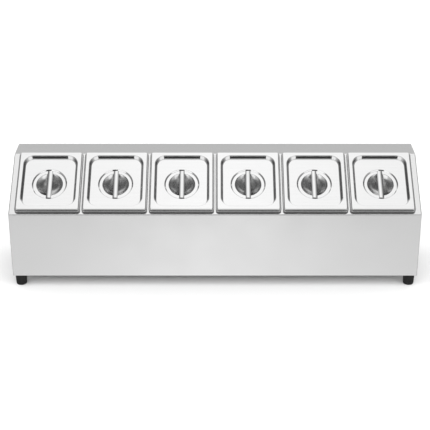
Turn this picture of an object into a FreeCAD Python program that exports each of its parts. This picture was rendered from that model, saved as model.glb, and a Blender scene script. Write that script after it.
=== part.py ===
"""Countertop ingredient station: a folded steel housing whose sloping deck holds a row of
drawn food pans, each with a lift-off lid that has a round finger well and a strap handle.

The frame has its origin on the table under the middle of the housing. X runs along the row of
pans, the front faces -Y and Z is up. Pans and lids are drawn in the deck's own frame, whose
origin is on the deck at the middle of a pan, with y up the slope and z square to the deck.
"""
import FreeCAD
import Part
import Sketcher
import math
import os

# Driving dimensions in millimetres, angles in degrees
DIMENSIONS = {
    # Housing
    "pan_count": 6,
    "slope_angle": 34,
    "front_height": 170.5,
    "front_margin": 4.6,
    "back_margin": 0.8,
    "end_margin": 14.7,
    "rear_room": 6.4,
    "housing_sheet": 1.2,
    "bend_inner": 1.2,
    "end_bend_share": 0.7,
    "lip_straight": 0.6,
    "cutout_gap": 0.7,
    # Pans
    "pan_length": 176,
    "pan_width": 162,
    "pan_gap": 3.8,
    "pan_deep": 150,
    "pan_sheet": 0.8,
    "pan_taper": 3,
    "pan_round": 14,
    "rim_height": 6.5,
    "rim_width": 10.5,
    "rim_corner": 8,
    "rim_bend": 1,
    "mouth_corner": 22,
    "mouth_round": 4,
    # Lids
    "lid_inset": 2.8,
    "lid_sheet": 0.8,
    "lid_skirt": 6,
    "lid_bend": 1.4,
    "flange_width": 10.8,
    "flange_round": 2.4,
    "recess_run": 3.4,
    "recess_depth": 10.5,
    "recess_corner": 25,
    "recess_round": 2.4,
    "well_offset": 4.2,
    "ring_radius": 43.6,
    "ring_run": 2.8,
    "ring_step": 2.5,
    "ring_round": 1.4,
    "ring_ledge": 8,
    "bowl_depth": 17,
    # Strap handles
    "strap_width": 12.8,
    "strap_edge": 1.2,
    "strap_crown": 1.1,
    "strap_end_gap": 1,
    # Feet and their fasteners
    "foot_height": 28.5,
    "foot_top": 29.5,
    "foot_bottom": 26.5,
    "foot_round": 3,
    "foot_margin": 2.5,
    "foot_end_inset": 3.4,
    "foot_recess": 15,
    "foot_recess_depth": 12,
    "screw_diameter": 5,
    "screw_gap": 0.4,
    "thread_gap": 0.1,
    "screw_head": 9,
    "screw_head_height": 3.5,
    "screw_socket": 4,
    "screw_tail": 2,
    "washer_diameter": 12,
    "washer_thickness": 1,
    "nut_flats": 8,
    "nut_height": 4,
    # How far a cut runs past the sheet that it goes through
    "overrun": 1,
}

# Two heights or radii closer than this are the same
TOLERANCE = 1e-4

# Sizes worked out from the driving dimensions, as expressions
PITCH = "(dims.pan_width + dims.pan_gap)"
ROW_LENGTH = f"((dims.pan_count - 1) * {PITCH})"
BODY_LENGTH = f"({ROW_LENGTH} + dims.pan_width + 2 * dims.end_margin)"
SLOPE_LENGTH = "(dims.front_margin + dims.pan_length + dims.back_margin)"
SEAT = "(dims.front_margin + dims.pan_length / 2)"
PAN_WALL = "(dims.pan_sheet / cos(dims.pan_taper))"
TUB_DROP = "(dims.pan_deep - dims.rim_height)"
MOUTH_HALF_LENGTH = "(dims.pan_length / 2 - dims.rim_width)"
MOUTH_HALF_WIDTH = "(dims.pan_width / 2 - dims.rim_width)"
TUB_FOOT_HALF = f"({MOUTH_HALF_LENGTH} + {PAN_WALL} - dims.pan_deep * tan(dims.pan_taper))"
BODY_DEPTH = (
    f"(({SEAT} + {TUB_FOOT_HALF}) * cos(dims.slope_angle) + {TUB_DROP} * sin(dims.slope_angle)"
    " + dims.rear_room + dims.housing_sheet)"
)
FRONT = f"(-{BODY_DEPTH} / 2)"
BACK = f"({BODY_DEPTH} / 2)"
DECK_FOOT = "(dims.foot_height + dims.front_height)"
DECK_HEAD = f"({DECK_FOOT} + {SLOPE_LENGTH} * sin(dims.slope_angle))"
LEDGE_FRONT = f"({FRONT} + {SLOPE_LENGTH} * cos(dims.slope_angle))"
SEAT_Y = f"({FRONT} + {SEAT} * cos(dims.slope_angle))"
SEAT_Z = f"({DECK_FOOT} + {SEAT} * sin(dims.slope_angle))"
BEND = "(dims.bend_inner + dims.housing_sheet)"
END_BEND = "(dims.end_bend_share * dims.bend_inner + dims.housing_sheet)"
LIP = f"({END_BEND} + dims.lip_straight)"
FOOT_X = f"({BODY_LENGTH} / 2 - dims.foot_end_inset - dims.foot_top / 2)"
FOOT_Y = f"({BODY_DEPTH} / 2 - dims.foot_margin - dims.foot_top / 2)"
RETURN_WIDTH = "(dims.foot_top + 2 * dims.foot_margin)"
SCREW_HOLE = "(dims.screw_diameter / 2 + dims.screw_gap)"
LID_TOP = "(dims.rim_height + dims.lid_skirt)"
LID_HALF_LENGTH = "(dims.pan_length / 2 - dims.lid_inset)"
LID_HALF_WIDTH = "(dims.pan_width / 2 - dims.lid_inset)"
LID_CORNER = "(dims.rim_corner - dims.lid_inset)"
RECESS_ANGLE = "atan(dims.recess_run / dims.recess_depth)"
LID_WALL = f"(dims.lid_sheet / cos({RECESS_ANGLE}))"
PANEL = f"({LID_TOP} - dims.recess_depth)"
LEDGE_RADIUS = "(dims.ring_radius - dims.ring_run)"
RING = f"({PANEL} - dims.ring_step)"
BOWL_RADIUS = f"({LEDGE_RADIUS} - dims.ring_ledge)"
BOWL_SPHERE = f"(({BOWL_RADIUS} ^ 2 + dims.bowl_depth ^ 2) / (2 * dims.bowl_depth))"
STRAP_HALF = "(dims.strap_width / 2)"
STRAP_ARC = f"(({STRAP_HALF} ^ 2 + dims.strap_crown ^ 2) / (2 * dims.strap_crown))"
STRAP_LENGTH = f"(2 * sqrt(({LEDGE_RADIUS} - dims.strap_end_gap) ^ 2 - {STRAP_HALF} ^ 2))"

doc = FreeCAD.newDocument("ingredient_station")
sheet = doc.addObject("Spreadsheet::Sheet", "dims")
for row, (alias, size) in enumerate(DIMENSIONS.items(), start=1):
    sheet.set(f"A{row}", alias)
    sheet.set(f"B{row}", str(size))
    sheet.setAlias(f"B{row}", alias)
doc.recompute()


def number(expression):
    """The present value of an expression, as a plain number."""
    result = sheet.evalExpression(expression)
    return float(getattr(result, "Value", result))


def add_body(label):
    body = doc.addObject("PartDesign::Body", label)
    body.Label = label
    return body


def place(body, x="0", y="0", z="0"):
    for axis, expression in zip("xyz", (x, y, z)):
        body.setExpression(f"Placement.Base.{axis}", expression)


def tilt(item, field):
    """Turns a placement field of the item about X, as steep as the deck."""
    rotation = FreeCAD.Rotation(FreeCAD.Vector(1, 0, 0), number("dims.slope_angle"))
    setattr(item, field, FreeCAD.Placement(FreeCAD.Vector(), rotation))
    item.setExpression(f"{field}.Rotation.Angle", "dims.slope_angle")


def place_on_deck(body, index):
    """Seats a body on the deck at the pan with this index, counted from the left."""
    tilt(body, "Placement")
    place(body, f"{index} * {PITCH} - {ROW_LENGTH} / 2", SEAT_Y, SEAT_Z)


def add_sketch(body, name, plane, level="0"):
    """A sketch on one of the body's origin planes, raised along the plane's normal."""
    support = next(item for item in body.Origin.OriginFeatures if item.Role == plane)
    sketch = body.newObject("Sketcher::SketchObject", f"{body.Label}_{name}")
    sketch.AttachmentSupport = [(support, "")]
    sketch.MapMode = "FlatFace"
    sketch.setExpression("AttachmentOffset.Base.z", level)
    return sketch


def add_deck_sketch(body, name):
    """A sketch that lies in the deck's outer face, with its origin at the seat line."""
    sketch = add_sketch(body, name, "XY_Plane")
    tilt(sketch, "AttachmentOffset")
    sketch.setExpression("AttachmentOffset.Base.y", SEAT_Y)
    sketch.setExpression("AttachmentOffset.Base.z", SEAT_Z)
    return sketch


def pin_point(sketch, geometry, end, u, v):
    """Ties a point of the sketch to its origin with two bound distances."""
    for kind, expression in (("DistanceX", u), ("DistanceY", v)):
        constraint = Sketcher.Constraint(kind, -1, 1, geometry, end, number(expression))
        index = sketch.addConstraint(constraint)
        sketch.setExpression(f"Constraints[{index}]", expression)


def bind_radius(sketch, geometry, radius):
    index = sketch.addConstraint(Sketcher.Constraint("Radius", geometry, number(radius)))
    sketch.setExpression(f"Constraints[{index}]", radius)


def join_ends(sketch, kind, first, second):
    sketch.addConstraint(Sketcher.Constraint(kind, *first, *second))


def add_line(sketch, first, last):
    """Adds a straight side and gives its number and the numbers of its two ends."""
    return sketch.addGeometry(Part.LineSegment(first, last), False), 1, 2


def add_arc(sketch, centre, first, last):
    """Adds the shorter arc between two points, and gives what add_line gives."""
    start = math.atan2(first.y - centre.y, first.x - centre.x)
    stop = math.atan2(last.y - centre.y, last.x - centre.x)
    turn = (stop - start) % math.tau
    ends = (1, 2)
    if turn > math.pi:
        start = stop
        turn = math.tau - turn
        ends = (2, 1)
    circle = Part.Circle(centre, FreeCAD.Vector(0, 0, 1), (first - centre).Length)
    arc = Part.ArcOfCircle(circle, start, start + turn)
    return sketch.addGeometry(arc, False), *ends


def add_circle(sketch, u, v, radius):
    centre = FreeCAD.Vector(number(u), number(v), 0)
    circle = Part.Circle(centre, FreeCAD.Vector(0, 0, 1), number(radius))
    geometry = sketch.addGeometry(circle, False)
    pin_point(sketch, geometry, 3, u, v)
    bind_radius(sketch, geometry, radius)


def add_outline(sketch, corners, arcs=None):
    """Draws a closed outline whose corners are (u, v, rounding) expressions.

    A corner with no rounding stays sharp. arcs gives the radius and centre of each side that
    is an arc between two sharp corners, by the number of the corner that it starts from.
    """
    arcs = arcs or {}
    count = len(corners)
    points = [FreeCAD.Vector(number(u), number(v), 0) for u, v, _ in corners]
    reaches = list(points)
    leaves = list(points)
    centres = {}
    for index, (_, _, rounding) in enumerate(corners):
        if rounding:
            before = (points[index - 1] - points[index]).normalize()
            after = (points[(index + 1) % count] - points[index]).normalize()
            half_angle = before.getAngle(after) / 2
            radius = number(rounding)
            reaches[index] = points[index] + before * (radius / math.tan(half_angle))
            leaves[index] = points[index] + after * (radius / math.tan(half_angle))
            inward = (before + after).normalize()
            centres[index] = points[index] + inward * (radius / math.sin(half_angle))
    sides = []
    for index in range(count):
        first = leaves[index]
        last = reaches[(index + 1) % count]
        if index in arcs:
            radius, u, v = arcs[index]
            side = add_arc(sketch, FreeCAD.Vector(number(u), number(v), 0), first, last)
        else:
            side = add_line(sketch, first, last)
        sides.append(side)
    for index, (u, v, rounding) in enumerate(corners):
        incoming, _, incoming_end = sides[index - 1]
        outgoing, outgoing_end, _ = sides[index]
        if rounding:
            arc, arc_first, arc_last = add_arc(sketch, centres[index], reaches[index], leaves[index])
            corner = sketch.addGeometry(Part.Point(points[index]), True)
            pin_point(sketch, corner, 1, u, v)
            for side in (incoming, outgoing):
                sketch.addConstraint(Sketcher.Constraint("PointOnObject", corner, 1, side))
            join_ends(sketch, "Tangent", (incoming, incoming_end), (arc, arc_first))
            join_ends(sketch, "Tangent", (arc, arc_last), (outgoing, outgoing_end))
            bind_radius(sketch, arc, rounding)
        else:
            join_ends(sketch, "Coincident", (incoming, incoming_end), (outgoing, outgoing_end))
            pin_point(sketch, outgoing, outgoing_end, u, v)
    for index, (radius, _, _) in arcs.items():
        bind_radius(sketch, sides[index][0], radius)


def add_rectangle(sketch, half_width, half_length, rounding):
    """Draws a rectangle with rounded corners about the sketch's origin."""
    corners = [
        (half_width, half_length, rounding),
        (f"-{half_width}", half_length, rounding),
        (f"-{half_width}", f"-{half_length}", rounding),
        (half_width, f"-{half_length}", rounding),
    ]
    add_outline(sketch, corners)


def add_hexagon(sketch, flats):
    """Draws a hexagon about the sketch's origin from its width across flats."""
    reach = f"({flats} / sqrt(3))"
    corners = [
        (reach, "0", None),
        (f"{reach} / 2", f"{flats} / 2", None),
        (f"-{reach} / 2", f"{flats} / 2", None),
        (f"-{reach}", "0", None),
        (f"-{reach} / 2", f"-{flats} / 2", None),
        (f"{reach} / 2", f"-{flats} / 2", None),
    ]
    add_outline(sketch, corners)


def extrude(body, kind, name, sketch, length, taper="0", reverse=False, symmetric=False):
    """A Pad or Pocket of a sketch. A positive taper narrows it along its way."""
    feature = body.newObject(f"PartDesign::{kind}", f"{body.Label}_{name}")
    feature.Profile = sketch
    feature.setExpression("Length", length)
    feature.setExpression("TaperAngle", f"-({taper})")
    feature.Reversed = reverse
    feature.SideType = "Symmetric" if symmetric else "One side"
    doc.recompute()
    return feature


def revolve(body, name, sketch):
    """A full turn of a sketch in the XZ plane about its own upright axis."""
    feature = body.newObject("PartDesign::Revolution", f"{body.Label}_{name}")
    feature.Profile = sketch
    feature.ReferenceAxis = (sketch, ["V_Axis"])
    doc.recompute()
    return feature


def repeat_in_row(body, name, features, plan, count, length):
    """Repeats features in a row along the first axis of a plan sketch."""
    pattern = body.newObject("PartDesign::LinearPattern", f"{body.Label}_{name}")
    pattern.Originals = features
    pattern.Direction = (plan, ["H_Axis"])
    pattern.setExpression("Occurrences", count)
    pattern.setExpression("Length", length)
    body.Tip = pattern
    doc.recompute()
    return pattern


def repeat_at_feet(body, features, plan):
    """Repeats features, drawn at the front left foot, at all four feet."""
    body.AllowCompound = True
    pattern = repeat_in_row(body, "at_feet", features, plan, "2", f"2 * {FOOT_X}")
    pattern.Direction2 = (plan, ["V_Axis"])
    pattern.Occurrences2 = 2
    pattern.setExpression("Length2", f"2 * {FOOT_Y}")
    doc.recompute()


def round_edges(body, name, base, edges, radius):
    feature = body.newObject("PartDesign::Fillet", f"{body.Label}_{name}")
    feature.Base = (base, edges)
    feature.setExpression("Radius", radius)
    doc.recompute()
    return feature


def hollow(body, name, base, open_faces, wall):
    """Leaves a wall inside the faces of a solid, apart from the faces that are open."""
    feature = body.newObject("PartDesign::Thickness", f"{body.Label}_{name}")
    feature.Base = (base, open_faces)
    feature.setExpression("Value", wall)
    feature.Reversed = True
    feature.Join = "Intersection"
    doc.recompute()
    return feature


def plane_faces(shape, normal, level):
    """The flat faces that look along a normal, at a distance along it, with their names."""
    found = []
    for index, face in enumerate(shape.Faces, start=1):
        if isinstance(face.Surface, Part.Plane):
            aligned = face.normalAt(0, 0).getAngle(normal) < TOLERANCE
            if aligned and abs(face.CenterOfMass.dot(normal) - level) < TOLERANCE:
                found.append((f"Face{index}", face))
    return found


def edge_names(shape, wires):
    wanted = [edge for wire in wires for edge in wire.Edges]
    names = []
    for index, edge in enumerate(shape.Edges, start=1):
        if any(edge.isSame(other) for other in wanted):
            names.append(f"Edge{index}")
    return names


def rim_edges(feature, level, up=True, inner=False):
    """The edges round the level faces at a height, or round the openings in them."""
    normal = FreeCAD.Vector(0, 0, 1 if up else -1)
    wires = []
    for _, face in plane_faces(feature.Shape, normal, number(level) * normal.z):
        outer = face.OuterWire
        wires += [wire for wire in face.Wires if wire.isSame(outer) != inner]
    return edge_names(feature.Shape, wires)


def circle_edges(feature, radius, level):
    """The edges that are level circles of a radius at a height."""
    names = []
    for index, edge in enumerate(feature.Shape.Edges, start=1):
        if not edge.Degenerated and isinstance(edge.Curve, Part.Circle):
            same_radius = abs(edge.Curve.Radius - number(radius)) < TOLERANCE
            same_level = abs(edge.Curve.Center.z - number(level)) < TOLERANCE
            if same_radius and same_level:
                names.append(f"Edge{index}")
    return names


def housing_outline(sketch):
    """The outer section of the housing, seen along X: front, deck, ledge, back and foot."""
    add_outline(sketch, [
        (FRONT, "dims.foot_height", BEND),
        (BACK, "dims.foot_height", BEND),
        (BACK, DECK_HEAD, BEND),
        (LEDGE_FRONT, DECK_HEAD, BEND),
        (FRONT, DECK_FOOT, BEND),
    ])


def make_shell():
    """The folded sheet, with pan cut-outs in the deck and screw holes in the return flanges."""
    body = add_body("housing_shell")
    section = add_sketch(body, "section", "YZ_Plane")
    housing_outline(section)
    length = f"({BODY_LENGTH} - 2 * {LIP})"
    block = extrude(body, "Pad", "block", section, length, symmetric=True)
    end = number(length) / 2
    ends = []
    for normal in (FreeCAD.Vector(1, 0, 0), FreeCAD.Vector(-1, 0, 0)):
        ends += [name for name, _ in plane_faces(block.Shape, normal, end)]
    hollow(body, "folded", block, ends, "dims.housing_sheet")

    through = "(2 * (dims.housing_sheet + dims.overrun))"
    underside = add_sketch(body, "underside", "XY_Plane", "dims.foot_height")
    half_length = f"({BODY_LENGTH} / 2)"
    half_gap = f"({BODY_DEPTH} / 2 - {RETURN_WIDTH})"
    add_rectangle(underside, half_length, half_gap, None)
    extrude(body, "Pocket", "open_underside", underside, through, symmetric=True)

    opening = add_deck_sketch(body, "opening")
    tub_half_width = f"({MOUTH_HALF_WIDTH} + {PAN_WALL} - dims.rim_height * tan(dims.pan_taper))"
    tub_half_length = f"({MOUTH_HALF_LENGTH} + {PAN_WALL} - dims.rim_height * tan(dims.pan_taper))"
    tub_corner = f"(dims.mouth_corner + {PAN_WALL} - dims.rim_height * tan(dims.pan_taper))"
    centre = f"(-{ROW_LENGTH} / 2)"
    left = f"({centre} - {tub_half_width} - dims.cutout_gap)"
    right = f"({centre} + {tub_half_width} + dims.cutout_gap)"
    reach = f"({tub_half_length} + dims.cutout_gap)"
    rounding = f"({tub_corner} + dims.cutout_gap)"
    add_outline(opening, [
        (left, f"-{reach}", rounding),
        (right, f"-{reach}", rounding),
        (right, reach, rounding),
        (left, reach, rounding),
    ])
    cutout = extrude(body, "Pocket", "cutout", opening, through, symmetric=True)
    repeat_in_row(body, "cutouts", [cutout], opening, "dims.pan_count", ROW_LENGTH)

    bores = add_sketch(body, "bore", "XY_Plane", "dims.foot_height")
    add_circle(bores, f"-{FOOT_X}", f"-{FOOT_Y}", SCREW_HOLE)
    bore = extrude(body, "Pocket", "screw_hole", bores, through, symmetric=True)
    repeat_at_feet(body, [bore], bores)
    return body


def make_end_panel(label, side):
    """A plate that closes one end, with a rounded edge that meets the folded sheet."""
    body = add_body(label)
    section = add_sketch(body, "section", "YZ_Plane")
    housing_outline(section)
    block = extrude(body, "Pad", "block", section, LIP, reverse=side < 0)
    outward = FreeCAD.Vector(side, 0, 0)
    wires = [face.OuterWire for _, face in plane_faces(block.Shape, outward, number(LIP))]
    edges = edge_names(block.Shape, wires)
    rounded = round_edges(body, "rounded", block, edges, END_BEND)
    inside = [name for name, _ in plane_faces(rounded.Shape, outward * -1, 0)]
    hollow(body, "dished", rounded, inside, "dims.housing_sheet")
    place(body, x=f"{side} * ({BODY_LENGTH} / 2 - {LIP})")
    return body


def make_pan(label, index):
    """A drawn pan: a rim with a turned-down edge, tapered walls and a rounded foot."""
    body = add_body(label)
    plate_under = "(dims.rim_height - dims.pan_sheet)"
    rim = add_sketch(body, "rim_outline", "XY_Plane")
    add_rectangle(rim, "(dims.pan_width / 2)", "(dims.pan_length / 2)", "dims.rim_corner")
    block = extrude(body, "Pad", "rim", rim, "dims.rim_height")
    edges = rim_edges(block, "dims.rim_height")
    round_edges(body, "rim_rounded", block, edges, "dims.rim_bend + dims.pan_sheet")
    under = add_sketch(body, "under_rim", "XY_Plane")
    add_rectangle(
        under,
        "(dims.pan_width / 2 - dims.pan_sheet)",
        "(dims.pan_length / 2 - dims.pan_sheet)",
        "(dims.rim_corner - dims.pan_sheet)",
    )
    extrude(body, "Pocket", "rim_hollow", under, plate_under, reverse=True)

    outside = add_sketch(body, "tub_outside", "XY_Plane", "dims.rim_height")
    add_rectangle(
        outside,
        f"({MOUTH_HALF_WIDTH} + {PAN_WALL})",
        f"({MOUTH_HALF_LENGTH} + {PAN_WALL})",
        f"(dims.mouth_corner + {PAN_WALL})",
    )
    tub = extrude(body, "Pad", "tub", outside, "dims.pan_deep", "dims.pan_taper", reverse=True)
    edges = rim_edges(tub, plate_under, up=False, inner=True)
    round_edges(body, "neck", tub, edges, "dims.mouth_round - dims.pan_sheet")

    inside = add_sketch(body, "tub_inside", "XY_Plane", "dims.rim_height")
    add_rectangle(inside, MOUTH_HALF_WIDTH, MOUTH_HALF_LENGTH, "dims.mouth_corner")
    depth = "(dims.pan_deep - dims.pan_sheet)"
    cavity = extrude(body, "Pocket", "cavity", inside, depth, "dims.pan_taper")
    edges = rim_edges(cavity, f"-{TUB_DROP} + dims.pan_sheet")
    cavity = round_edges(body, "cavity_foot", cavity, edges, "dims.pan_round - dims.pan_sheet")
    edges = rim_edges(cavity, f"-{TUB_DROP}", up=False)
    cavity = round_edges(body, "tub_foot", cavity, edges, "dims.pan_round")
    edges = rim_edges(cavity, "dims.rim_height", inner=True)
    round_edges(body, "mouth", cavity, edges, "dims.mouth_round")
    place_on_deck(body, index)
    return body


def make_lid(label, index):
    """A pressed lid: a flange with a turned-down edge, a sunk panel and a finger well."""
    body = add_body(label)
    plate_under = f"({LID_TOP} - dims.lid_sheet)"
    flange = add_sketch(body, "flange_outline", "XY_Plane", "dims.rim_height")
    add_rectangle(flange, LID_HALF_WIDTH, LID_HALF_LENGTH, LID_CORNER)
    block = extrude(body, "Pad", "flange", flange, "dims.lid_skirt")
    edges = rim_edges(block, LID_TOP)
    round_edges(body, "flange_rounded", block, edges, "dims.lid_bend + dims.lid_sheet")
    under = add_sketch(body, "under_flange", "XY_Plane", "dims.rim_height")
    add_rectangle(
        under,
        f"({LID_HALF_WIDTH} - dims.lid_sheet)",
        f"({LID_HALF_LENGTH} - dims.lid_sheet)",
        f"({LID_CORNER} - dims.lid_sheet)",
    )
    depth = "(dims.lid_skirt - dims.lid_sheet)"
    extrude(body, "Pocket", "flange_hollow", under, depth, reverse=True)

    outside = add_sketch(body, "recess_outside", "XY_Plane", LID_TOP)
    half_width = f"({LID_HALF_WIDTH} - dims.flange_width)"
    half_length = f"({LID_HALF_LENGTH} - dims.flange_width)"
    add_rectangle(
        outside,
        f"({half_width} + {LID_WALL})",
        f"({half_length} + {LID_WALL})",
        f"(dims.recess_corner + {LID_WALL})",
    )
    depth = "(dims.recess_depth + dims.lid_sheet)"
    tray = extrude(body, "Pad", "tray", outside, depth, RECESS_ANGLE, reverse=True)
    edges = rim_edges(tray, plate_under, up=False, inner=True)
    round_edges(body, "tray_neck", tray, edges, "dims.flange_round - dims.lid_sheet")

    inside = add_sketch(body, "recess_inside", "XY_Plane", LID_TOP)
    add_rectangle(inside, half_width, half_length, "dims.recess_corner")
    recess = extrude(body, "Pocket", "recess", inside, "dims.recess_depth", RECESS_ANGLE)
    edges = rim_edges(recess, PANEL)
    recess = round_edges(body, "recess_foot", recess, edges, "dims.recess_round")
    edges = rim_edges(recess, f"{PANEL} - dims.lid_sheet", up=False)
    recess = round_edges(body, "tray_foot", recess, edges, "dims.recess_round + dims.lid_sheet")
    edges = rim_edges(recess, LID_TOP, inner=True)
    round_edges(body, "flange_mouth", recess, edges, "dims.flange_round")

    hole = add_sketch(body, "well_outline", "XY_Plane", PANEL)
    add_circle(hole, "0", "-dims.well_offset", "dims.ring_radius")
    through = "(2 * (dims.lid_sheet + dims.overrun))"
    extrude(body, "Pocket", "well_hole", hole, through, symmetric=True)
    section = add_sketch(body, "well_section", "XZ_Plane", "dims.well_offset")
    floor = f"({RING} - dims.bowl_depth)"
    centre = f"({floor} + {BOWL_SPHERE})"
    lower_sphere = f"({BOWL_SPHERE} + dims.lid_sheet)"
    ring_under = f"({RING} - dims.lid_sheet)"
    bowl_under = f"sqrt({lower_sphere} ^ 2 - ({centre} - {ring_under}) ^ 2)"
    add_outline(
        section,
        [
            ("dims.ring_radius", PANEL, None),
            (LEDGE_RADIUS, RING, None),
            (BOWL_RADIUS, RING, None),
            ("0", floor, None),
            ("0", f"{floor} - dims.lid_sheet", None),
            (bowl_under, ring_under, None),
            (LEDGE_RADIUS, ring_under, None),
            ("dims.ring_radius", f"{PANEL} - dims.lid_sheet", None),
        ],
        arcs={2: (BOWL_SPHERE, "0", centre), 4: (lower_sphere, "0", centre)},
    )
    well = revolve(body, "well", section)
    for name, radius, level in (
        ("ring_top", "dims.ring_radius", PANEL),
        ("ring_foot", LEDGE_RADIUS, RING),
        ("bowl_edge", BOWL_RADIUS, RING),
    ):
        edges = circle_edges(well, radius, level)
        well = round_edges(body, name, well, edges, "dims.ring_round")
    place_on_deck(body, index)
    return body


def make_handle(label, index):
    """A crowned strap across the finger well, seated on the ring ledge at both ends."""
    body = add_body(label)
    section = add_sketch(body, "section", "XZ_Plane", "dims.well_offset")
    edge = f"({RING} + dims.strap_edge)"
    add_outline(
        section,
        [
            (f"-{STRAP_HALF}", RING, None),
            (STRAP_HALF, RING, None),
            (STRAP_HALF, edge, None),
            (f"-{STRAP_HALF}", edge, None),
        ],
        arcs={2: (STRAP_ARC, "0", f"{edge} + dims.strap_crown - {STRAP_ARC}")},
    )
    extrude(body, "Pad", "strap", section, STRAP_LENGTH, symmetric=True)
    place_on_deck(body, index)
    return body


def make_foot(label, side_x, side_y):
    """A tapered foot with a screw hole and a recess for the screw's head."""
    body = add_body(label)
    section = add_sketch(body, "section", "XZ_Plane")
    recess = "(dims.foot_recess / 2)"
    add_outline(section, [
        (recess, "0", None),
        ("dims.foot_bottom / 2", "0", "dims.foot_round"),
        ("dims.foot_top / 2", "dims.foot_height", None),
        (SCREW_HOLE, "dims.foot_height", None),
        (SCREW_HOLE, "dims.foot_recess_depth", None),
        (recess, "dims.foot_recess_depth", None),
    ])
    revolve(body, "turned", section)
    place(body, f"{side_x} * {FOOT_X}", f"{side_y} * {FOOT_Y}")
    return body


def make_screws():
    """The screws that hold the feet, each with a hexagon socket in its head."""
    body = add_body("foot_screws")
    head_top = "(dims.foot_recess_depth - dims.washer_thickness)"
    head_foot = f"({head_top} - dims.screw_head_height)"
    tip = "(dims.foot_height + dims.housing_sheet + dims.nut_height + dims.screw_tail)"
    section = add_sketch(body, "section", "XZ_Plane")
    add_outline(section, [
        ("0", head_foot, None),
        ("dims.screw_head / 2", head_foot, None),
        ("dims.screw_head / 2", head_top, None),
        ("dims.screw_diameter / 2", head_top, None),
        ("dims.screw_diameter / 2", tip, None),
        ("0", tip, None),
    ])
    turned = revolve(body, "turned", section)
    plan = add_sketch(body, "socket_outline", "XY_Plane", head_foot)
    add_hexagon(plan, "dims.screw_socket")
    depth = "dims.screw_head_height / 2"
    socket = extrude(body, "Pocket", "socket", plan, depth, reverse=True)
    repeat_at_feet(body, [turned, socket], plan)
    place(body, f"-{FOOT_X}", f"-{FOOT_Y}")
    return body


def make_washers():
    """The washers between the screw heads and the feet."""
    body = add_body("foot_washers")
    level = "(dims.foot_recess_depth - dims.washer_thickness)"
    plan = add_sketch(body, "outline", "XY_Plane", level)
    add_circle(plan, "0", "0", "dims.washer_diameter / 2")
    add_circle(plan, "0", "0", SCREW_HOLE)
    ring = extrude(body, "Pad", "ring", plan, "dims.washer_thickness")
    repeat_at_feet(body, [ring], plan)
    place(body, f"-{FOOT_X}", f"-{FOOT_Y}")
    return body


def make_nuts():
    """The nuts on top of the return flanges."""
    body = add_body("foot_nuts")
    plan = add_sketch(body, "outline", "XY_Plane", "dims.foot_height + dims.housing_sheet")
    add_hexagon(plan, "dims.nut_flats")
    add_circle(plan, "0", "0", "dims.screw_diameter / 2 + dims.thread_gap")
    hexagon = extrude(body, "Pad", "hexagon", plan, "dims.nut_height")
    repeat_at_feet(body, [hexagon], plan)
    place(body, f"-{FOOT_X}", f"-{FOOT_Y}")
    return body


def make_station():
    nodes = [
        make_shell(),
        make_end_panel("end_panel_left", -1),
        make_end_panel("end_panel_right", 1),
    ]
    for index in range(DIMENSIONS["pan_count"]):
        nodes.append(make_pan(f"pan_{index + 1}", index))
        nodes.append(make_lid(f"lid_{index + 1}", index))
        nodes.append(make_handle(f"lid_handle_{index + 1}", index))
    for end, side_y in (("front", -1), ("rear", 1)):
        nodes.append(make_foot(f"foot_{end}_left", -1, side_y))
        nodes.append(make_foot(f"foot_{end}_right", 1, side_y))
    nodes += [make_screws(), make_washers(), make_nuts()]
    return nodes


def check(nodes):
    """Stops with a message if anything in the document failed to build."""
    failed = [item.Label for item in doc.Objects if {"Invalid", "Error"} & set(item.State)]
    if failed:
        raise RuntimeError(f"not built: {failed}")
    for node in nodes:
        if node.Shape.isNull() or not node.Shape.isValid():
            raise RuntimeError(f"no valid shape: {node.Label}")


station = make_station()
doc.recompute()
check(station)
os.makedirs("parts", exist_ok=True)
for node in station:
    node.Shape.exportStep(f"parts/{node.Label}.step")
    print(node.Label, len(node.Shape.Solids), round(node.Shape.Volume))
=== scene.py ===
"""Looks of the countertop ingredient station: polished lids over a satin steel housing.

Lengths are in metres in the station's own frame: X along the row of pans, the front faces -Y,
Z up, with the origin on the table under the middle of the housing. Only the camera's sensor and
focal length are in millimetres.
"""
import bpy
import math
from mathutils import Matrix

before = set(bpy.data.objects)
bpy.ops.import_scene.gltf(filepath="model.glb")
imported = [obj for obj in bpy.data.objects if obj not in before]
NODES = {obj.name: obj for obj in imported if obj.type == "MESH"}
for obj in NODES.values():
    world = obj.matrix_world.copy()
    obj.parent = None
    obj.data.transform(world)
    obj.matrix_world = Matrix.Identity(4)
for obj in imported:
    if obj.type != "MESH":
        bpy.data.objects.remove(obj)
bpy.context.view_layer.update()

# Camera
SENSOR_WIDTH = 36.0
FOCAL_LENGTH = 97.891
CAMERA_PLACE = (0.0, -2.7300, 1.4043)
CAMERA_PITCH = math.radians(24.733)

# Studio light that the steel mirrors, as (degrees above the horizon, level): straight ahead, the
# white boxes beside that, the sides and the back. Then the degrees from the front where each of
# the last three starts and is full
HALF_TURN = 180.0
STUDIO_STRENGTH = 1.3
AHEAD = [
    (-90, 0.70), (-24, 0.30), (-19, 0.04), (8, 0.04), (18, 0.08),
    (36, 0.08), (46, 0.50), (56, 0.85), (90, 0.89),
]
BOXES = [
    (-90, 0.70), (-20, 0.92), (12, 0.92), (18, 0.10), (36, 0.10),
    (46, 0.50), (56, 0.85), (90, 0.89),
]
SIDES = [
    (-90, 0.45), (6, 0.48), (18, 0.20), (32, 0.07), (50, 0.06),
    (60, 0.14), (70, 0.45), (80, 0.82), (90, 0.89),
]
BEHIND = [
    (-90, 0.45), (0, 0.42), (30, 0.47), (45, 0.75), (60, 0.88),
    (80, 0.89), (90, 0.89),
]
BOX_TURN = (10.5, 14)
SIDE_TURN = (44, 56)
BACK_TURN = (105, 140)
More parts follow.
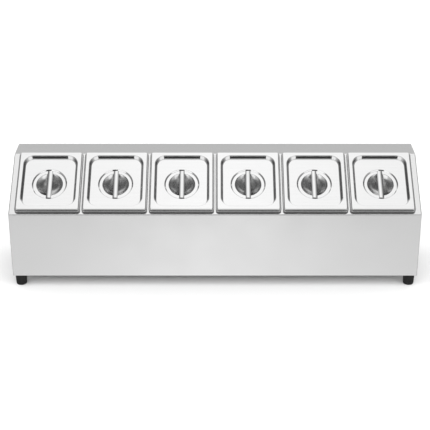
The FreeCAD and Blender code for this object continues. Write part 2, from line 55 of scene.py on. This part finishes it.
# Light off the table by degrees round from the front, and the degrees below the horizon where it
# starts and is full
TABLE = [
    (0, 0.86), (2, 0.85), (5.5, 0.75), (8, 0.66), (12, 0.63),
    (40, 0.52), (90, 0.30), (180, 0.45),
]
TABLE_DROP = (18.5, 24)
# Soft light on matte surfaces: its level and how it changes towards the back
DOME_LEVEL = 1.55
DOME_LEAN = -1.0

# The deck's tilt, the middle of its seat line, and the level of the rings round the finger wells
# from there, along the deck's normal
DECK_TILT = math.radians(34.0)
DECK_SEAT = (0.0, -0.034736, 0.250781)
RING_LEVEL = -0.0005

# Noise in the steel: scales per metre and detail, the strength of the grain's bump, and the noise
# values between which the tint and the roughness change
GRAIN_DETAIL = 4.0
SMUDGE_SCALE = 9.0
SMUDGE_DETAIL = 3.0
WAVE_SCALE = 14.0
WAVE_DETAIL = 1.0
GRAIN_STRENGTH = 0.4
TINT_STOPS = (0.3, 0.7)
NOISE_RANGE = (0.25, 0.75)
# How far below the ring the satin finish starts and is full
SATIN_START = 0.0003
SATIN_FULL = 0.0015

# Rubber
RUBBER_GRAIN_SCALE = 1800.0
RUBBER_DUST_SCALE = 60.0
RUBBER_DETAIL = 3.0
RUBBER_TINT = [(0.35, 0.004), (0.7, 0.010)]
RUBBER_ROUGHNESS = (0.6, 0.8)
RUBBER_BUMP_STRENGTH = 0.5
RUBBER_BUMP_DEPTH = 0.0002

# Floor and backdrop
FLOOR_HALF = 12.0
FLOOR_GREY = 0.85
FLOOR_ROUGHNESS = 0.9
WHITE = 1.0


def add_node(tree, kind, inputs=None, **settings):
    """Adds a shader node, sets its properties and fills its inputs with values or links."""
    node = tree.nodes.new(kind)
    for name, value in settings.items():
        setattr(node, name, value)
    for key, value in (inputs or {}).items():
        if isinstance(value, bpy.types.NodeSocket):
            tree.links.new(value, node.inputs[key])
        else:
            node.inputs[key].default_value = value
    return node


def grey(value):
    return (value, value, value, 1.0)


def set_ramp(node, stops):
    """Gives a colour ramp its stops, each a position and a grey level."""
    elements = node.color_ramp.elements
    while len(elements) > 1:
        elements.remove(elements[-1])
    elements[0].position, level = stops[0]
    elements[0].color = grey(level)
    for position, level in stops[1:]:
        elements.new(position).color = grey(level)
    return node.outputs["Color"]


def new_material(name):
    material = bpy.data.materials.new(name)
    material.use_nodes = True
    tree = material.node_tree
    tree.nodes.clear()
    output = add_node(tree, "ShaderNodeOutputMaterial")
    shader = add_node(tree, "ShaderNodeBsdfPrincipled")
    tree.links.new(shader.outputs["BSDF"], output.inputs["Surface"])
    return material, tree, shader


def noise(tree, vector, scale, detail):
    return add_node(
        tree,
        "ShaderNodeTexNoise",
        {"Vector": vector, "Scale": scale, "Detail": detail},
    ).outputs["Fac"]


def spread(tree, value, low, high):
    """Maps a noise value onto a range."""
    least, most = NOISE_RANGE
    return add_node(
        tree,
        "ShaderNodeMapRange",
        {"Value": value, "From Min": least, "From Max": most, "To Min": low, "To Max": high},
    ).outputs["Result"]


def bump(tree, height, strength, distance, base=None):
    inputs = {"Height": height, "Strength": strength, "Distance": distance}
    if base is not None:
        inputs["Normal"] = base
    return add_node(tree, "ShaderNodeBump", inputs).outputs["Normal"]


def steel_base(name, colour, grain, grain_depth, wave_depth):
    """Stainless steel with a grain of its own scale along each axis, faint smudges and waviness."""
    material, tree, shader = new_material(name)
    place = add_node(tree, "ShaderNodeTexCoord").outputs["Object"]
    stretched = add_node(
        tree, "ShaderNodeMapping", {"Vector": place, "Scale": grain}
    ).outputs["Vector"]
    scratches = noise(tree, stretched, 1.0, GRAIN_DETAIL)
    smudges = noise(tree, place, SMUDGE_SCALE, SMUDGE_DETAIL)
    waves = noise(tree, place, WAVE_SCALE, WAVE_DETAIL)
    mixed = add_node(
        tree, "ShaderNodeMath", {0: scratches, 1: smudges}, operation="ADD"
    ).outputs["Value"]
    wear = add_node(
        tree, "ShaderNodeMath", {0: mixed, 1: 0.5}, operation="MULTIPLY"
    ).outputs["Value"]
    shader.inputs["Metallic"].default_value = 1.0
    ramp = add_node(tree, "ShaderNodeValToRGB", {"Fac": scratches})
    tint = set_ramp(ramp, list(zip(TINT_STOPS, colour)))
    tree.links.new(tint, shader.inputs["Base Color"])
    normal = bump(tree, waves, 1.0, wave_depth)
    normal = bump(tree, scratches, GRAIN_STRENGTH, grain_depth, normal)
    tree.links.new(normal, shader.inputs["Normal"])
    return material, tree, shader, place, wear


def steel(name, colour, roughness, grain, grain_depth, wave_depth):
    material, tree, shader, _, wear = steel_base(name, colour, grain, grain_depth, wave_depth)
    tree.links.new(spread(tree, wear, *roughness), shader.inputs["Roughness"])
    return material


def pressed_steel(name, colour, polished, satin, grain, grain_depth, wave_depth):
    """Polished steel that is satin below the level of the ring round the finger well."""
    material, tree, shader, place, wear = steel_base(name, colour, grain, grain_depth, wave_depth)
    up = (0.0, -math.sin(DECK_TILT), math.cos(DECK_TILT))
    level = add_node(
        tree, "ShaderNodeVectorMath", {0: place, 1: up}, operation="DOT_PRODUCT"
    ).outputs["Value"]
    ring = sum(a * b for a, b in zip(up, DECK_SEAT)) + RING_LEVEL
    sunk = add_node(
        tree,
        "ShaderNodeMapRange",
        {"Value": level, "From Min": ring - SATIN_START, "From Max": ring - SATIN_FULL},
    ).outputs["Result"]
    roughness = add_node(
        tree,
        "ShaderNodeMix",
        {0: sunk, 2: spread(tree, wear, *polished), 3: spread(tree, wear, *satin)},
    ).outputs[0]
    tree.links.new(roughness, shader.inputs["Roughness"])
    return material


def rubber(name):
    material, tree, shader = new_material(name)
    place = add_node(tree, "ShaderNodeTexCoord").outputs["Object"]
    grain = noise(tree, place, RUBBER_GRAIN_SCALE, RUBBER_DETAIL)
    dust = noise(tree, place, RUBBER_DUST_SCALE, RUBBER_DETAIL)
    ramp = add_node(tree, "ShaderNodeValToRGB", {"Fac": dust})
    tint = set_ramp(ramp, RUBBER_TINT)
    tree.links.new(tint, shader.inputs["Base Color"])
    tree.links.new(spread(tree, grain, *RUBBER_ROUGHNESS), shader.inputs["Roughness"])
    normal = bump(tree, grain, RUBBER_BUMP_STRENGTH, RUBBER_BUMP_DEPTH)
    tree.links.new(normal, shader.inputs["Normal"])
    return material


def studio_side(tree, rise, stops):
    """The light from one side of the studio, as (degrees above the horizon, level) stops."""
    ramp = add_node(tree, "ShaderNodeValToRGB", {"Fac": rise})
    return set_ramp(ramp, [(degrees / HALF_TURN + 0.5, level) for degrees, level in stops])


def turn_mask(tree, turn, inner, outer):
    """Goes from 0 to 1 between two angles away from the front, in degrees."""
    return add_node(
        tree,
        "ShaderNodeMapRange",
        {"Value": turn, "From Min": math.radians(inner), "From Max": math.radians(outer)},
        interpolation_type="SMOOTHSTEP",
    ).outputs["Result"]


def blend(tree, mask, first, second):
    return add_node(
        tree, "ShaderNodeMixRGB", {"Fac": mask, "Color1": first, "Color2": second}
    ).outputs["Color"]


def make_world():
    """A soft studio that the steel mirrors, a dome that lights matte surfaces, a white backdrop."""
    world = bpy.data.worlds.new("studio")
    bpy.context.scene.world = world
    world.use_nodes = True
    tree = world.node_tree
    tree.nodes.clear()
    direction = add_node(tree, "ShaderNodeTexCoord").outputs["Generated"]
    parts = add_node(tree, "ShaderNodeSeparateXYZ", {"Vector": direction}).outputs
    angle = add_node(tree, "ShaderNodeMath", {0: parts["Z"]}, operation="ARCSINE").outputs["Value"]
    rise = add_node(
        tree,
        "ShaderNodeMapRange",
        {"Value": angle, "From Min": -math.pi / 2, "From Max": math.pi / 2},
    ).outputs["Result"]
    forward = add_node(tree, "ShaderNodeMath", {0: parts["Y"], 1: -1.0}, operation="MULTIPLY")
    sideways = add_node(tree, "ShaderNodeMath", {0: parts["X"]}, operation="ABSOLUTE")
    turn = add_node(
        tree,
        "ShaderNodeMath",
        {0: sideways.outputs["Value"], 1: forward.outputs["Value"]},
        operation="ARCTAN2",
    ).outputs["Value"]
    ahead = studio_side(tree, rise, AHEAD)
    light = blend(tree, turn_mask(tree, turn, *BOX_TURN), ahead, studio_side(tree, rise, BOXES))
    light = blend(tree, turn_mask(tree, turn, *SIDE_TURN), light, studio_side(tree, rise, SIDES))
    light = blend(tree, turn_mask(tree, turn, *BACK_TURN), light, studio_side(tree, rise, BEHIND))
    round_share = add_node(
        tree, "ShaderNodeMath", {0: turn, 1: math.pi}, operation="DIVIDE"
    ).outputs["Value"]
    table = add_node(tree, "ShaderNodeValToRGB", {"Fac": round_share})
    table = set_ramp(table, [(degrees / HALF_TURN, level) for degrees, level in TABLE])
    near, far = (-math.radians(drop) for drop in TABLE_DROP)
    below = add_node(
        tree,
        "ShaderNodeMapRange",
        {"Value": angle, "From Min": near, "From Max": far},
        interpolation_type="SMOOTHSTEP",
    ).outputs["Result"]
    light = blend(tree, below, light, table)
    studio = add_node(tree, "ShaderNodeBackground", {"Color": light, "Strength": STUDIO_STRENGTH})
    dome_level = add_node(
        tree,
        "ShaderNodeMath",
        {0: parts["Y"], 1: DOME_LEAN, 2: DOME_LEVEL},
        operation="MULTIPLY_ADD",
    ).outputs["Value"]
    dome = add_node(tree, "ShaderNodeBackground", {"Color": grey(WHITE), "Strength": dome_level})
    backdrop = add_node(tree, "ShaderNodeBackground", {"Color": grey(WHITE), "Strength": WHITE})
    ray = add_node(tree, "ShaderNodeLightPath").outputs
    both = add_node(
        tree,
        "ShaderNodeMixShader",
        {0: ray["Is Diffuse Ray"], 1: studio.outputs["Background"], 2: dome.outputs["Background"]},
    )
    both = add_node(
        tree,
        "ShaderNodeMixShader",
        {0: ray["Is Camera Ray"], 1: both.outputs["Shader"], 2: backdrop.outputs["Background"]},
    )
    output = add_node(tree, "ShaderNodeOutputWorld")
    tree.links.new(both.outputs["Shader"], output.inputs["Surface"])


def make_floor():
    mesh = bpy.data.meshes.new("floor")
    signs = ((-1, -1), (1, -1), (1, 1), (-1, 1))
    corners = [(x * FLOOR_HALF, y * FLOOR_HALF, 0.0) for x, y in signs]
    mesh.from_pydata(corners, [], [(0, 1, 2, 3)])
    floor = bpy.data.objects.new("floor", mesh)
    bpy.context.scene.collection.objects.link(floor)
    material, _, shader = new_material("pale_floor")
    shader.inputs["Base Color"].default_value = grey(FLOOR_GREY)
    shader.inputs["Roughness"].default_value = FLOOR_ROUGHNESS
    shader.inputs["Specular IOR Level"].default_value = 0.0
    mesh.materials.append(material)
    floor.visible_glossy = False


def make_camera():
    data = bpy.data.cameras.new("camera")
    data.sensor_width = SENSOR_WIDTH
    data.lens = FOCAL_LENGTH
    camera = bpy.data.objects.new("camera", data)
    bpy.context.scene.collection.objects.link(camera)
    camera.location = CAMERA_PLACE
    camera.rotation_euler = (math.pi / 2 - CAMERA_PITCH, 0.0, 0.0)
    bpy.context.scene.camera = camera


def dress(material, names):
    for name in names:
        slots = NODES[name].data.materials
        slots.clear()
        slots.append(material)


COUNT = sum(name.startswith("pan_") for name in NODES)
ROW = range(1, COUNT + 1)
housing_steel = steel(
    "housing_steel",
    colour=(0.78, 0.82),
    roughness=(0.15, 0.22),
    grain=(6.0, 1500.0, 1500.0),
    grain_depth=0.00003,
    wave_depth=0.0,
)
pan_steel = steel(
    "pan_steel",
    colour=(0.50, 0.55),
    roughness=(0.10, 0.20),
    grain=(700.0, 700.0, 12.0),
    grain_depth=0.00002,
    wave_depth=0.0,
)
lid_steel = pressed_steel(
    "lid_steel",
    colour=(0.80, 0.84),
    polished=(0.03, 0.07),
    satin=(0.18, 0.26),
    grain=(8.0, 900.0, 900.0),
    grain_depth=0.000004,
    wave_depth=0.0004,
)
fastener_steel = steel(
    "fastener_steel",
    colour=(0.55, 0.62),
    roughness=(0.25, 0.4),
    grain=(900.0, 900.0, 900.0),
    grain_depth=0.00005,
    wave_depth=0.0,
)
foot_rubber = rubber("foot_rubber")
dress(housing_steel, ["housing_shell", "end_panel_left", "end_panel_right"])
dress(pan_steel, [f"pan_{index}" for index in ROW])
dress(lid_steel, [f"lid_{index}" for index in ROW])
dress(lid_steel, [f"lid_handle_{index}" for index in ROW])
dress(foot_rubber, [name for name in NODES if name.startswith(("foot_front", "foot_rear"))])
dress(fastener_steel, ["foot_screws", "foot_washers", "foot_nuts"])

make_world()
make_floor()
make_camera()
bpy.context.scene.view_settings.view_transform = "Standard"
